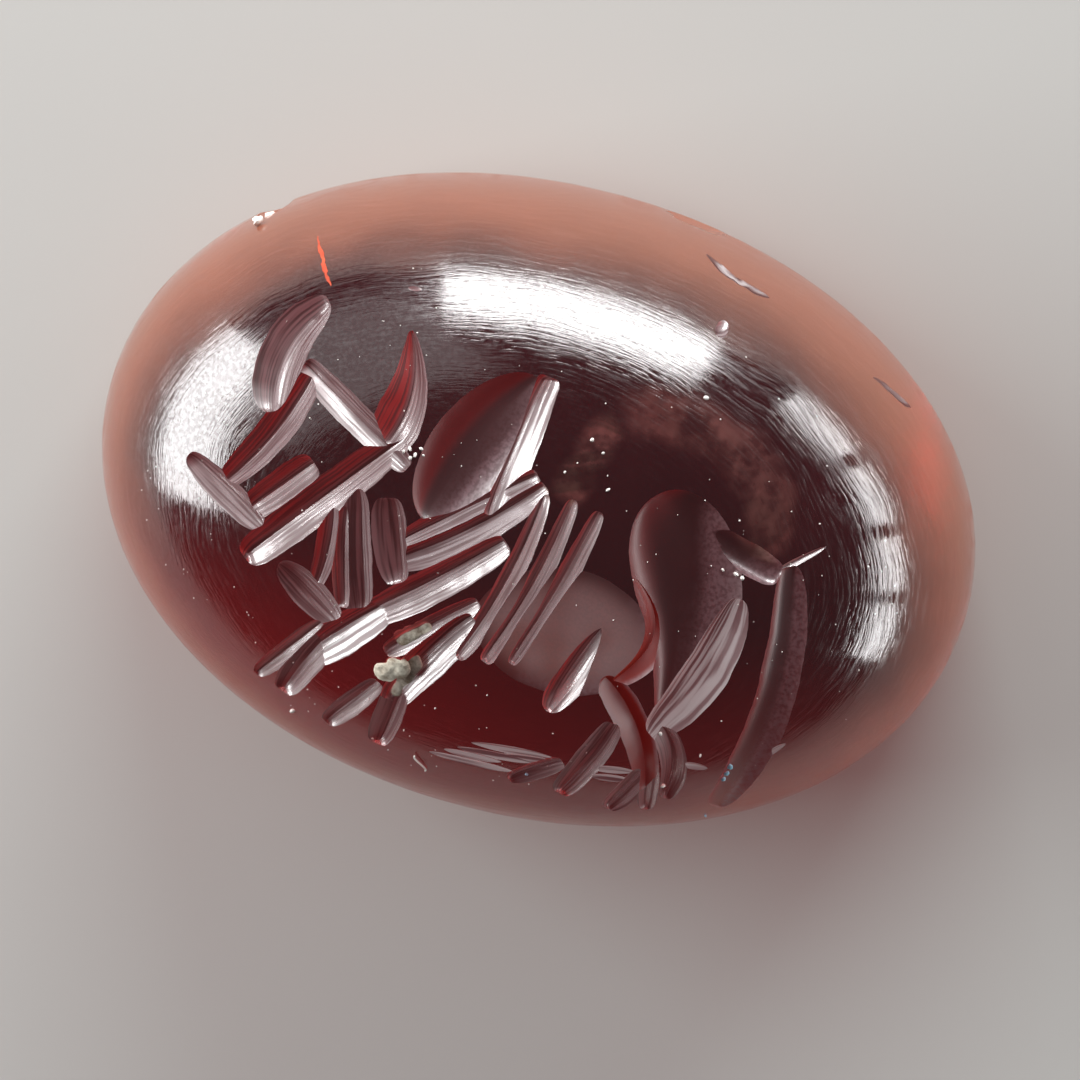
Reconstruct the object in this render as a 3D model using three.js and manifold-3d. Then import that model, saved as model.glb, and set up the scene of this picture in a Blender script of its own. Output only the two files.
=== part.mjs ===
// An engraved ringstone: an oval garnet with a high convex face, a flat back and a humped bull
// cut into the face with small wheels. It is one solid and lies on its flat back.
// Millimetres, +Z out of the convex face, +X along the stone towards the bull's tail,
// origin in the middle of the flat back.
import * as THREE from "three";
import { mergeVertices } from "three/addons/utils/BufferGeometryUtils.js";
import Module from "manifold-3d";

// The stone
const STONE_LENGTH = 15.2;
const STONE_WIDTH = 10.8;
const STONE_HEIGHT = 6.2;
const GIRDLE_HEIGHT = 1.0; // the widest line, above the flat back
const BACK_INSET = 0.5; // how far the rounded lower edge runs in under the widest line
const OUTLINE_POWER = 2.04; // 2 is a true ellipse, more is squarer at the corners
const DOME_POWER = 2.3; // 2 is an elliptical dome, more has a flatter top and steeper sides

// The figure stands in an oval field, which keeps this far inside the stone's outline
const FIELD_MARGIN = 1.0;

// The engraver's wheels: the full width and the depth of a groove at the stone's surface
const HAIR_WHEEL = { width: 0.18, depth: 0.06 };
const FINE_WHEEL = { width: 0.28, depth: 0.16 };
const RIB_WHEEL = { width: 0.3, depth: 0.3 };
const NARROW_WHEEL = { width: 0.37, depth: 0.17 };
const MIDDLE_WHEEL = { width: 0.46, depth: 0.2 };
const DEEP_WHEEL = { width: 0.5, depth: 0.38 };
const BROAD_WHEEL = { width: 0.58, depth: 0.26 };
const HORN_WHEEL = { width: 0.7, depth: 0.28 };

// The round-headed tools that ground the body's hollows
const HUMP_TOOL = { width: 1.75, depth: 0.36 };
const BELLY_TOOL = { width: 1.9, depth: 0.28 };
const HAUNCH_TOOL = { width: 2.3, depth: 0.42 };

// How a cutter is shaped: its lid stands this far above the surface, and a wall's section and a
// cut's outline follow a power, from sharp (high in the outline, low in the wall) to round
const CUTTER_RISE = 0.1;
const GROOVE = { wallPower: 1.5, outlinePower: 0.45, sides: 10, steps: 11 };
const CRESCENT = { wallPower: 1.5, outlinePower: 0.9, sides: 10, steps: 11 };
const HOLLOW = { wallPower: 2, outlinePower: 1, sides: 18, steps: 14 };

// Flakes lost from the edge: where on the oval, in degrees from +X, how long and how deep
const EDGE_CHIPS = [
  { angle: 137, length: 0.7, bite: 0.2 },
  { angle: 79, length: 2.2, bite: 0.1 },
  { angle: 214, length: 2.6, bite: 0.09 },
];
const CHIP_HEIGHT = 1.6;
const CHIP_ROUNDNESS = 0.3; // thickness of the ball that bites out a chip, as a share of its length

// How finely the stone's faces are cut up
const STONE_SIDES = 88;
const DOME_RINGS = 20;
const LOWER_RINGS = 4;

const HALF_LENGTH = STONE_LENGTH / 2;
const HALF_WIDTH = STONE_WIDTH / 2;
const DOME_RISE = STONE_HEIGHT - GIRDLE_HEIGHT;
const RIM_SHARE = 0.995; // cutters are bent over the dome no further out than this
const SLOPE_STEP = 0.01;
const POLE_RING = 1e-6; // a ball's ring this small is its end point
const MERGE_DISTANCE = 1e-4;
const SLIVER_LIMIT = 0.002;

// Share of the way from the middle of the stone, 0, to its outline, 1
function outlineShare(x, y) {
  const along = Math.abs(x / HALF_LENGTH) ** OUTLINE_POWER;
  const across = Math.abs(y / HALF_WIDTH) ** OUTLINE_POWER;
  return (along + across) ** (1 / OUTLINE_POWER);
}

function domeHeight(share) {
  return GIRDLE_HEIGHT + DOME_RISE * (1 - share ** DOME_POWER) ** (1 / DOME_POWER);
}

function faceHeight(x, y) {
  return domeHeight(Math.min(outlineShare(x, y), RIM_SHARE));
}

// The outward normal of the convex face above a place in plan
function faceNormal(x, y) {
  const riseX = faceHeight(x + SLOPE_STEP, y) - faceHeight(x - SLOPE_STEP, y);
  const riseY = faceHeight(x, y + SLOPE_STEP) - faceHeight(x, y - SLOPE_STEP);
  return new THREE.Vector3(-riseX, -riseY, 2 * SLOPE_STEP).normalize();
}

// A place in plan given as shares of the field's half length and half width
function onField(u, v) {
  return new THREE.Vector2(u * (HALF_LENGTH - FIELD_MARGIN), v * (HALF_WIDTH - FIELD_MARGIN));
}

// The turned profile, as a share of the outline and a height: flat back, rounded edge, dome
function stoneProfile() {
  const profile = [new THREE.Vector2(0, 0)];
  for (let ring = 0; ring < LOWER_RINGS; ring += 1) {
    const turn = (ring / LOWER_RINGS) * (Math.PI / 2);
    const inset = BACK_INSET * (1 - Math.sin(turn));
    profile.push(new THREE.Vector2(1 - inset / HALF_WIDTH, GIRDLE_HEIGHT * (1 - Math.cos(turn))));
  }
  for (let ring = 0; ring < DOME_RINGS; ring += 1) {
    const share = Math.cos((ring / DOME_RINGS) * (Math.PI / 2)) ** (2 / DOME_POWER);
    profile.push(new THREE.Vector2(share, domeHeight(share)));
  }
  profile.push(new THREE.Vector2(0, STONE_HEIGHT));
  return profile;
}

// The uncut stone: the profile turned round and drawn out into the oval
function stoneBlank() {
  const blank = new THREE.LatheGeometry(stoneProfile(), STONE_SIDES);
  blank.rotateX(Math.PI / 2);
  const places = blank.attributes.position;
  for (let i = 0; i < places.count; i += 1) {
    const share = Math.hypot(places.getX(i), places.getY(i));
    const x = places.getX(i) * HALF_LENGTH;
    const y = places.getY(i) * HALF_WIDTH;
    const stretch = share > 0 ? share / outlineShare(x, y) : 1;
    places.setXYZ(i, x * stretch, y * stretch, places.getZ(i));
  }
  return blank;
}

// One cut as a closed cutter: a ball drawn out along a path in plan, hollowed to the cut's section
// and bent over the convex face. narrowing is the width at the end as a share of the start's.
function cutter(path, { width, depth }, style, narrowing) {
  const reach = depth + CUTTER_RISE;
  const halfWidth = width / 2 / (depth / reach) ** (1 / style.wallPower);
  const ball = new THREE.SphereGeometry(1, style.sides, style.steps);
  const places = ball.attributes.position;
  for (let i = 0; i < places.count; i += 1) {
    const ring = Math.hypot(places.getX(i), places.getZ(i));
    const atEnd = ring < POLE_RING;
    const side = atEnd ? 0 : places.getX(i) / ring;
    const upward = atEnd ? 0 : places.getZ(i) / ring;
    const fullness = atEnd ? 0 : ring ** style.outlinePower;
    const station = (1 - places.getY(i)) / 2;
    const below = upward < 0 ? reach * (1 - Math.abs(side) ** style.wallPower) : 0;
    const lid = upward > 0 ? CUTTER_RISE * upward : 0;
    const offset = side * fullness * halfWidth * (1 + (narrowing - 1) * station);
    const middle = path.getPoint(station);
    const tangent = path.getTangent(station);
    const x = middle.x - tangent.y * offset;
    const y = middle.y + tangent.x * offset;
    const place = faceNormal(x, y).multiplyScalar(CUTTER_RISE + (lid - below) * fullness);
    place.add(new THREE.Vector3(x, y, faceHeight(x, y)));
    places.setXYZ(i, place.x, place.y, place.z);
  }
  return ball;
}

// A cut between two places on the field. bow is how far its middle swings out to the left, in mm.
function cut(tool, from, to, { bow = 0, narrowing = 1, style = GROOVE } = {}) {
  const start = onField(...from);
  const end = onField(...to);
  const chord = end.clone().sub(start).normalize();
  const control = start.clone().add(end).multiplyScalar(0.5);
  control.add(new THREE.Vector2(-chord.y, chord.x).multiplyScalar(2 * bow));
  return cutter(new THREE.QuadraticBezierCurve(start, control, end), tool, style, narrowing);
}

// Both horns are crescents, broad at the root and running out to a point
function horns() {
  const taper = { narrowing: 0.45, style: CRESCENT };
  return [
    cut(HORN_WHEEL, [-0.675, 0.25], [-0.6, 0.79], { bow: 0.26, ...taper }),
    cut(HORN_WHEEL, [-0.39, 0.26], [-0.385, 0.75], { bow: -0.2, ...taper }),
  ];
}

// The head is built from straight cuts: brow, cheek, nose, mouth and the long line of the jaw
function head() {
  return [
    cut(MIDDLE_WHEEL, [-0.62, 0.46], [-0.34, 0.24]),
    cut(MIDDLE_WHEEL, [-0.6, 0.42], [-0.75, -0.06], { bow: 0.2, narrowing: 0.8 }),
    cut(MIDDLE_WHEEL, [-0.86, -0.03], [-0.65, -0.17]),
    cut(MIDDLE_WHEEL, [-0.55, 0.11], [-0.68, -0.13]),
    cut(BROAD_WHEEL, [-0.36, 0.28], [-0.66, -0.3], { bow: -0.04 }),
  ];
}

// The folds of the dewlap hang side by side under the jaw
function dewlap() {
  return [
    cut(MIDDLE_WHEEL, [-0.54, -0.31], [-0.4, -0.45], { style: CRESCENT }),
    cut(NARROW_WHEEL, [-0.47, -0.02], [-0.47, -0.33]),
    cut(MIDDLE_WHEEL, [-0.42, 0.06], [-0.35, -0.36]),
    cut(NARROW_WHEEL, [-0.33, 0.07], [-0.26, -0.23]),
  ];
}

// The hump, the belly and the haunch are hollows. A groove along the haunch makes its crisp wall.
function body() {
  return [
    cut(HUMP_TOOL, [-0.24, 0.06], [0.0, 0.69], { bow: 0.25, style: HOLLOW }),
    cut(BELLY_TOOL, [0.05, -0.31], [0.44, -0.21], { style: HOLLOW }),
    cut(HAUNCH_TOOL, [0.31, 0.36], [0.48, -0.64], { bow: 0.5, narrowing: 0.6, style: HOLLOW }),
    cut(HORN_WHEEL, [0.57, 0.12], [0.46, -0.62], { bow: 0.26, narrowing: 0.7, style: CRESCENT }),
  ];
}

// The line behind the hump and two folds of skin over the shoulder
function shoulder() {
  return [
    cut(NARROW_WHEEL, [-0.01, 0.7], [-0.055, 0.16]),
    cut(MIDDLE_WHEEL, [0.04, 0.32], [-0.26, -0.14], { bow: 0.12 }),
    cut(NARROW_WHEEL, [-0.05, 0.18], [-0.25, -0.09]),
  ];
}

// The ribs run side by side down the flank, each a little further back than the last
function ribs() {
  const count = 3;
  const spacing = 0.065;
  const cuts = [];
  for (let rib = 0; rib < count; rib += 1) {
    const back = spacing * rib;
    cuts.push(cut(RIB_WHEEL, [0.075 + back, 0.26], [-0.045 + back, -0.43], { bow: 0.07 }));
  }
  return cuts;
}

// A leg runs down in straight cuts and ends in two toes
function leg({ upper, shank, toes, bow }) {
  const cuts = [cut(MIDDLE_WHEEL, ...shank, { bow, narrowing: 0.8 })];
  if (upper) cuts.push(cut(BROAD_WHEEL, ...upper, { narrowing: 0.85 }));
  for (const toe of toes) cuts.push(cut(FINE_WHEEL, ...toe));
  return cuts;
}

function legs() {
  const nearFore = {
    upper: [[-0.02, 0.03], [-0.31, -0.39]],
    shank: [[-0.28, -0.37], [-0.44, -0.65]],
    toes: [[[-0.42, -0.6], [-0.495, -0.84]], [[-0.48, -0.64], [-0.575, -0.82]]],
  };
  const farFore = {
    upper: [[-0.04, -0.3], [-0.2, -0.74]],
    shank: [[-0.04, -0.21], [-0.24, -0.52]],
    toes: [[[-0.195, -0.67], [-0.22, -0.94]], [[-0.26, -0.7], [-0.355, -0.9]]],
  };
  const nearHind = {
    shank: [[0.33, -0.43], [0.49, -0.85]],
    toes: [[[0.49, -0.74], [0.39, -0.97]], [[0.495, -0.74], [0.49, -0.95]]],
    bow: 0.21,
  };
  const farHind = {
    shank: [[0.36, -0.59], [0.265, -0.94]],
    toes: [[[0.27, -0.8], [0.14, -0.95]], [[0.49, -0.6], [0.53, -0.88]]],
    bow: 0.05,
  };
  return [nearFore, farFore, nearHind, farHind].flatMap(leg);
}

// The tail leaves the rump as a short cut, flicks up once and hangs as one broad bowed cut
function tail() {
  return [
    cut(MIDDLE_WHEEL, [0.47, 0.285], [0.68, 0.175]),
    cut(HORN_WHEEL, [0.695, 0.21], [0.65, -0.87], { bow: 0.34, narrowing: 0.7 }),
    cut(HAIR_WHEEL, [0.7, 0.215], [0.775, 0.295]),
  ];
}

function sheath() {
  return [cut(DEEP_WHEEL, [0.295, -0.19], [0.205, -0.56], { style: CRESCENT })];
}

// The ground is a broken row of short strokes under the hooves
function ground() {
  return [
    cut(HAIR_WHEEL, [-0.09, -0.92], [0.14, -0.9]),
    cut(HAIR_WHEEL, [-0.03, -0.86], [0.2, -0.85]),
    cut(HAIR_WHEEL, [0.04, -0.8], [0.24, -0.8]),
    cut(HAIR_WHEEL, [0.31, -0.83], [0.45, -0.81]),
    cut(HAIR_WHEEL, [0.55, -0.8], [0.63, -0.77]),
  ];
}

// A flattened ball that bites a flake out of the widest line
function edgeChip({ angle, length, bite }) {
  const thickness = length * CHIP_ROUNDNESS;
  const direction = THREE.MathUtils.degToRad(angle);
  const place = new THREE.Vector2(HALF_LENGTH * Math.cos(direction), HALF_WIDTH * Math.sin(direction));
  place.divideScalar(outlineShare(place.x, place.y));
  const outward = new THREE.Vector2(place.x / HALF_LENGTH ** 2, place.y / HALF_WIDTH ** 2).normalize();
  place.addScaledVector(outward, thickness - bite);
  const ball = new THREE.SphereGeometry(1, HOLLOW.sides, HOLLOW.steps);
  ball.scale(thickness, length / 2, CHIP_HEIGHT / 2);
  ball.rotateZ(outward.angle());
  ball.translate(place.x, place.y, GIRDLE_HEIGHT);
  return ball;
}

const wasm = await Module();
wasm.setup();

// A closed geometry as a solid
function solid(geometry) {
  geometry.deleteAttribute("normal");
  geometry.deleteAttribute("uv");
  const merged = mergeVertices(geometry, MERGE_DISTANCE);
  const vertProperties = merged.attributes.position.array;
  const triVerts = new Uint32Array(merged.index.array);
  return new wasm.Manifold(new wasm.Mesh({ numProp: 3, vertProperties, triVerts }));
}

function engravedStone() {
  const figure = [
    ...horns(),
    ...head(),
    ...dewlap(),
    ...body(),
    ...shoulder(),
    ...ribs(),
    ...legs(),
    ...tail(),
    ...sheath(),
    ...ground(),
  ];
  let stone = solid(stoneBlank());
  for (const cutaway of [...figure, ...EDGE_CHIPS.map(edgeChip)]) stone = stone.subtract(solid(cutaway));
  const { vertProperties, triVerts } = stone.asOriginal().simplify(SLIVER_LIMIT).getMesh();
  const geometry = new THREE.BufferGeometry();
  geometry.setAttribute("position", new THREE.BufferAttribute(vertProperties, 3));
  geometry.setIndex(new THREE.BufferAttribute(triVerts, 1));
  geometry.computeVertexNormals();
  return geometry;
}

const garnet = new THREE.MeshStandardMaterial({ color: 0x5c1214, roughness: 0.22, metalness: 0 });

const sealStone = new THREE.Mesh(engravedStone(), garnet);
sealStone.name = "engraved_garnet";

const seal = new THREE.Group();
seal.add(sealStone);

export default seal;
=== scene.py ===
import math
import random

import bpy
import numpy as np
from mathutils import Matrix
from mathutils import Vector


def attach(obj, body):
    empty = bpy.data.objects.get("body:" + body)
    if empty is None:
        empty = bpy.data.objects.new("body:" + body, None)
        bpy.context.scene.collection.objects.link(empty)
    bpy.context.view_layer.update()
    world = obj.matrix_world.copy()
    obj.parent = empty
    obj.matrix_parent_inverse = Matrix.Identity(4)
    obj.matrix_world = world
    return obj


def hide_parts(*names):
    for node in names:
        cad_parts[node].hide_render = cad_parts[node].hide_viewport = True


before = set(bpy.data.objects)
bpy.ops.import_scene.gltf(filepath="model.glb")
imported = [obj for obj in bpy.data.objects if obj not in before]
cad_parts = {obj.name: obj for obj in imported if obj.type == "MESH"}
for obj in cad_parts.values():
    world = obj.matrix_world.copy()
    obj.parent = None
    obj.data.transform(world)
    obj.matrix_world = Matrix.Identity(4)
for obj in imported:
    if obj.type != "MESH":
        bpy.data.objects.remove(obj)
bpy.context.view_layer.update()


# The blank is one piece of red garnet, sawn and ground to a long oval with a high convex face,
# a flat back and a small round under the edge. It is shaped here in millimetres, as the cutter
# would measure it, and is brought to metres when the last cut is made.
MM = 0.001
HALF_LENGTH = 7.6
HALF_WIDTH = 5.4
STONE_HEIGHT = 6.2
GIRDLE_HEIGHT = 1.0
BACK_INSET = 0.5
OUTLINE_POWER = 2.04
DOME_POWER = 2.3
DOME_RISE = STONE_HEIGHT - GIRDLE_HEIGHT
RIM_SHARE = 0.995
STONE_SIDES = 256
STONE_RINGS = 128
UNDERSIDE_TURN = 0.35  # share of the sphere's lower half that becomes the rounded edge


def outline_share(x, y):
    along = np.abs(x / HALF_LENGTH) ** OUTLINE_POWER
    across = np.abs(y / HALF_WIDTH) ** OUTLINE_POWER
    return (along + across) ** (1 / OUTLINE_POWER)


def face_height(x, y):
    share = np.minimum(outline_share(x, y), RIM_SHARE)
    return GIRDLE_HEIGHT + DOME_RISE * (1 - share**DOME_POWER) ** (1 / DOME_POWER)


def face_normal(x, y, step=0.01):
    rise_x = face_height(x + step, y) - face_height(x - step, y)
    rise_y = face_height(x, y + step) - face_height(x, y - step)
    normal = np.stack([-rise_x, -rise_y, np.full_like(x, 2 * step)], axis=-1)
    return normal / np.linalg.norm(normal, axis=-1, keepdims=True)


def new_ball(name, segments, rings):
    """A unit ball on its own, and its points as an array."""
    bpy.ops.object.select_all(action="DESELECT")
    bpy.ops.mesh.primitive_uv_sphere_add(segments=segments, ring_count=rings, radius=1)
    ball = bpy.context.object
    ball.name = name
    points = np.empty(len(ball.data.vertices) * 3)
    ball.data.vertices.foreach_get("co", points)
    return ball, points.reshape(-1, 3)


def move_points(piece, points):
    piece.data.vertices.foreach_set("co", np.ascontiguousarray(points).ravel())
    piece.data.update()


def mark_faces(piece, across, along):
    """Writes the place on a cut's wall, in millimetres, as the piece's own UV map."""
    layer = piece.data.uv_layers[0]
    layer.name = "wheel"
    corner = np.empty(len(piece.data.loops), dtype=np.int32)
    piece.data.loops.foreach_get("vertex_index", corner)
    place = np.stack([across[corner], along[corner]], axis=-1)
    layer.data.foreach_set("uv", place.astype(np.float32).ravel())


stone, ball_points = new_ball("garnet_stone", STONE_SIDES, STONE_RINGS)
turn = np.arccos(np.clip(ball_points[:, 2], -1, 1))
heading = np.arctan2(ball_points[:, 1], ball_points[:, 0])
rise = np.clip(math.pi / 2 - turn, 0, None)
drop = np.clip(turn - math.pi / 2, 0, None) / (math.pi / 2)
under = np.clip(1 - drop / UNDERSIDE_TURN, 0, 1) * math.pi / 2
inset_share = 1 - BACK_INSET * (1 - np.sin(under)) / HALF_WIDTH
flat_share = np.clip((1 - drop) / (1 - UNDERSIDE_TURN), 0, 1)
share = np.where(turn < math.pi / 2, np.cos(rise) ** (2 / DOME_POWER), inset_share * flat_share)
height = np.where(
    turn < math.pi / 2 + 1e-6,
    GIRDLE_HEIGHT + DOME_RISE * np.sin(rise) ** (2 / DOME_POWER),
    GIRDLE_HEIGHT * (1 - np.cos(under)),
)
oval_x = np.cos(heading) * HALF_LENGTH
oval_y = np.sin(heading) * HALF_WIDTH
stretch = share / outline_share(oval_x, oval_y)
move_points(stone, np.stack([oval_x * stretch, oval_y * stretch, height], axis=-1))
mark_faces(stone, np.zeros(len(ball_points)), np.zeros(len(ball_points)))


# The bull is cut into the convex face with small wheels charged with abrasive, one straight or
# bowed cut for each line, and its body is ground out with round-headed tools. Each cutter below
# is the space that one tool took away.
FIELD_MARGIN = 1.0
CUTTER_RISE = 0.06
MAUVE = 0.5  # the kinds of wall other than a plain wheel cut, kept in the thousands of the map's V
SMOOTH = 1
RUBBED = 3
GLOWING = 5
BRUISED = 7
SCORED = 9
FLAKED = 2000
FLAKE_HEIGHT = 1.6
HAIR = (0.15, 0.05)
FINE = (0.36, 0.14)
RIB = (0.34, 0.15)
NARROW = (0.42, 0.17)
MIDDLE = (0.5, 0.2)
DEEP = (0.54, 0.24)
BROAD = (0.62, 0.24)
chance = random.Random(61)
cutters = []


def wobble(along, size):
    """A small seeded waviness along a cut, as where its edge has crumbled."""
    total = np.zeros_like(along)
    for pitch in (1.7, 3.6, 7.9, 15.0):
        phase = chance.uniform(0, 2 * math.pi)
        total += np.sin(along * pitch * chance.uniform(0.85, 1.15) * 2 + phase) / math.sqrt(pitch)
    return total * size


def cut(tool, start, end, bow=0.0, narrowing=1.0, lean=0.0, deepening=1.0, wall=1.35, blunt=0.35,
        sides=32, chips=0.03, ground=0):
    """One wheel cut. start and end are shares of the field, bow is its swing to the left in mm,
    lean moves the deepest line to the left, wall is the section's power and blunt the ends'.
    deepening is its depth at the end as a share of the start's. ground is the kind of wall: a
    mauve cut with painted mauve shade, a hollow that the round-headed tools left smooth or rubbed,
    a wall with a painted orange glow, a bruise or a scored wall with a painted pale sheen and glow."""
    width, depth = tool
    field = np.array([HALF_LENGTH - FIELD_MARGIN, HALF_WIDTH - FIELD_MARGIN])
    first = np.array(start) * field
    last = np.array(end) * field
    chord = last - first
    length = float(np.linalg.norm(chord))
    chord = chord / length
    control = (first + last) / 2 + np.array([-chord[1], chord[0]]) * 2 * bow
    number = len(cutters) + 1
    rings = int(min(max(20, length / 0.06), 72))
    cutter, points = new_ball(f"cutter_{number:03d}", sides, rings)
    ring = np.hypot(points[:, 0], points[:, 1])
    at_end = ring < 1e-6
    safe = np.where(at_end, 1, ring)
    side = np.where(at_end, 0, points[:, 0] / safe)
    upward = np.where(at_end, 0, points[:, 1] / safe)
    fullness = np.where(at_end, 0, safe**blunt)
    station = (1 + points[:, 2]) / 2
    reach = depth + CUTTER_RISE
    half_width = width / 2 / (depth / reach) ** (1 / wall)
    wall_share = 1 - np.abs(side) ** wall
    below = np.where(upward < 0, reach * wall_share, 0) * (1 + (deepening - 1) * station)
    lid = np.where(upward > 0, CUTTER_RISE * upward, 0)
    taper = 1 + (narrowing - 1) * station
    left_edge = wobble(station * length, chips) * (side > 0)
    right_edge = wobble(station * length, chips) * (side <= 0)
    edge = 1 + left_edge + right_edge
    offset = (side * edge + lean * wall_share) * fullness * half_width * taper
    floor_change = 1 + wobble(station * length, chips * 0.7)
    a, b, c = (1 - station) ** 2, 2 * station * (1 - station), station**2
    middle = a[:, None] * first + b[:, None] * control + c[:, None] * last
    heading = 2 * (1 - station)[:, None] * (control - first) + 2 * station[:, None] * (last - control)
    heading = heading / np.linalg.norm(heading, axis=-1, keepdims=True)
    x = middle[:, 0] - heading[:, 1] * offset
    y = middle[:, 1] + heading[:, 0] * offset
    out = CUTTER_RISE + (lid - below * floor_change) * fullness
    place = face_normal(x, y) * out[:, None] + np.stack([x, y, face_height(x, y)], axis=-1)
    move_points(cutter, place)
    mark_faces(cutter, side * half_width, station * length + 5 * number + 1000 * ground)
    cutters.append(cutter)


# The horns are scoops: one broad to its end, the other running out to a point
cut((1.0, 0.26), (-0.655, 0.27), (-0.597, 0.7), bow=0.3, narrowing=0.6, blunt=0.5, wall=1.5,
    lean=0.1, ground=MAUVE)
cut((1.1, 0.3), (-0.37, 0.27), (-0.375, 0.7), bow=-0.22, narrowing=0.25, blunt=0.6)
# The head: brow, cheek, nose, mouth and the long line of the jaw
cut(MIDDLE, (-0.615, 0.475), (-0.29, 0.23), ground=MAUVE)
cut((0.66, 0.25), (-0.585, 0.44), (-0.74, -0.05), bow=0.1, narrowing=0.75, lean=-0.2)
cut(MIDDLE, (-0.85, 0.0), (-0.615, -0.155), narrowing=1.15, blunt=0.5, ground=MAUVE)
cut(BROAD, (-0.52, 0.14), (-0.66, -0.12), narrowing=0.9, lean=-0.2)
cut((0.64, 0.27), (-0.315, 0.33), (-0.64, -0.3), bow=-0.02, narrowing=1.12, lean=-0.15)
# The folds of the dewlap
cut(BROAD, (-0.55, -0.27), (-0.365, -0.43), blunt=0.7, ground=MAUVE)
cut(NARROW, (-0.455, 0.02), (-0.449, -0.32), bow=0.07, narrowing=0.8)
cut(BROAD, (-0.412, 0.1), (-0.325, -0.37), bow=-0.04, lean=0.3, ground=MAUVE)
cut(NARROW, (-0.415, 0.03), (-0.36, -0.36), bow=-0.02, lean=-0.2)
cut(BROAD, (-0.325, 0.1), (-0.25, -0.21), bow=-0.03, narrowing=0.9, lean=0.4, ground=MAUVE)
# The hump, the belly and the haunch are ground hollows, and a groove makes the haunch's wall
hollow = {"wall": 3.4, "blunt": 0.9, "sides": 56, "chips": 0.008, "ground": SMOOTH}
rubbed = {"wall": 2, "blunt": 1, "sides": 56, "chips": 0.008, "ground": RUBBED}
cut((1.5, 0.3), (-0.205, 0.05), (-0.02, 0.655), bow=0.17, **hollow)
cut((2.2, 0.15), (-0.05, -0.24), (0.425, -0.2), **rubbed)
cut((2.35, 0.32), (0.32, 0.37), (0.475, -0.5), bow=0.58, narrowing=0.36, lean=-0.1, **hollow)
cut((0.42, 0.34), (0.318, 0.06), (0.318, -0.4), bow=0.62, blunt=0.9, chips=0.01, ground=GLOWING)
cut((0.85, 0.42), (0.585, 0.06), (0.452, -0.57), bow=0.2, narrowing=0.9, blunt=0.7, lean=-0.3,
    ground=SCORED)
# The line behind the hump, and the folds over the shoulder
cut((0.5, 0.27), (-0.003, 0.68), (-0.048, 0.13), narrowing=1.15, blunt=0.2, lean=-0.55)
cut(MIDDLE, (0.03, 0.33), (-0.26, -0.05), lean=-0.15)
cut(MIDDLE, (0.055, 0.3), (-0.26, -0.13), bow=0.12, narrowing=1.2, lean=-0.2)
# Three ribs
cut(RIB, (0.06, 0.275), (-0.055, -0.43), bow=0.14, deepening=1.5, lean=-0.15)
cut(RIB, (0.13, 0.28), (0.013, -0.415), bow=0.12, deepening=1.7, lean=-0.15)
cut(RIB, (0.2, 0.26), (0.08, -0.4), bow=0.06, deepening=1.9, lean=-0.15)
# The near foreleg, the far foreleg, the near hind leg and the far hind leg, each with two toes
cut(BROAD, (-0.005, 0.06), (-0.31, -0.38), bow=0.05, lean=-0.15)
cut((0.68, 0.26), (-0.26, -0.315), (-0.43, -0.615), lean=-0.15)
cut(BROAD, (-0.385, -0.5), (-0.478, -0.81), bow=-0.03, narrowing=0.85, lean=-0.1, ground=MAUVE)
cut(FINE, (-0.41, -0.45), (-0.555, -0.775))
cut(NARROW, (-0.035, -0.19), (-0.235, -0.49), lean=-0.1)
cut((0.74, 0.26), (-0.035, -0.26), (-0.2, -0.71), bow=-0.07, narrowing=0.8, lean=-0.2)
cut(MIDDLE, (-0.183, -0.6), (-0.214, -0.905), lean=0.2, ground=MAUVE)
cut(NARROW, (-0.235, -0.62), (-0.352, -0.885), ground=MAUVE)
cut(BROAD, (0.31, -0.36), (0.48, -0.84), bow=0.25, narrowing=0.72, ground=GLOWING)
cut(NARROW, (0.475, -0.68), (0.392, -0.95), bow=0.04, ground=MAUVE)
cut(FINE, (0.48, -0.7), (0.487, -0.92), narrowing=0.9, ground=MAUVE)
cut(MIDDLE, (0.36, -0.535), (0.263, -0.91), bow=0.04, lean=0.3, ground=MAUVE)
cut(FINE, (0.26, -0.755), (0.135, -0.9))
cut(MIDDLE, (0.475, -0.51), (0.528, -0.84), bow=0.2, narrowing=0.75, ground=MAUVE)
# The tail, its flick, the sheath and the broken line of the ground
cut((0.52, 0.16), (0.445, 0.28), (0.67, 0.165), wall=3, ground=SMOOTH)
cut((0.66, 0.15), (0.685, 0.215), (0.655, -0.86), bow=0.42, blunt=0.45, wall=3.4,
    ground=SMOOTH)
cut(HAIR, (0.65, 0.175), (0.765, 0.31), narrowing=0.6, blunt=0.7)
cut(DEEP, (0.285, -0.15), (0.195, -0.55), narrowing=1.1, blunt=0.7, lean=-0.1, deepening=1.3)
for start, end in (
    ((-0.09, -0.868), (0.16, -0.855)),
    ((-0.05, -0.835), (0.12, -0.822)),
    ((-0.02, -0.808), (0.2, -0.79)),
    ((0.01, -0.77), (0.245, -0.742)),
    ((0.09, -0.79), (0.26, -0.762)),
    ((0.32, -0.755), (0.45, -0.728)),
    ((0.325, -0.792), (0.445, -0.774)),
    ((0.54, -0.656), (0.62, -0.658)),
    ((0.795, -0.49), (0.695, -0.635)),
    ((0.755, -0.5), (0.675, -0.62)),
):
    cut(HAIR, start, end, blunt=0.8, ground=SCORED)
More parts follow.
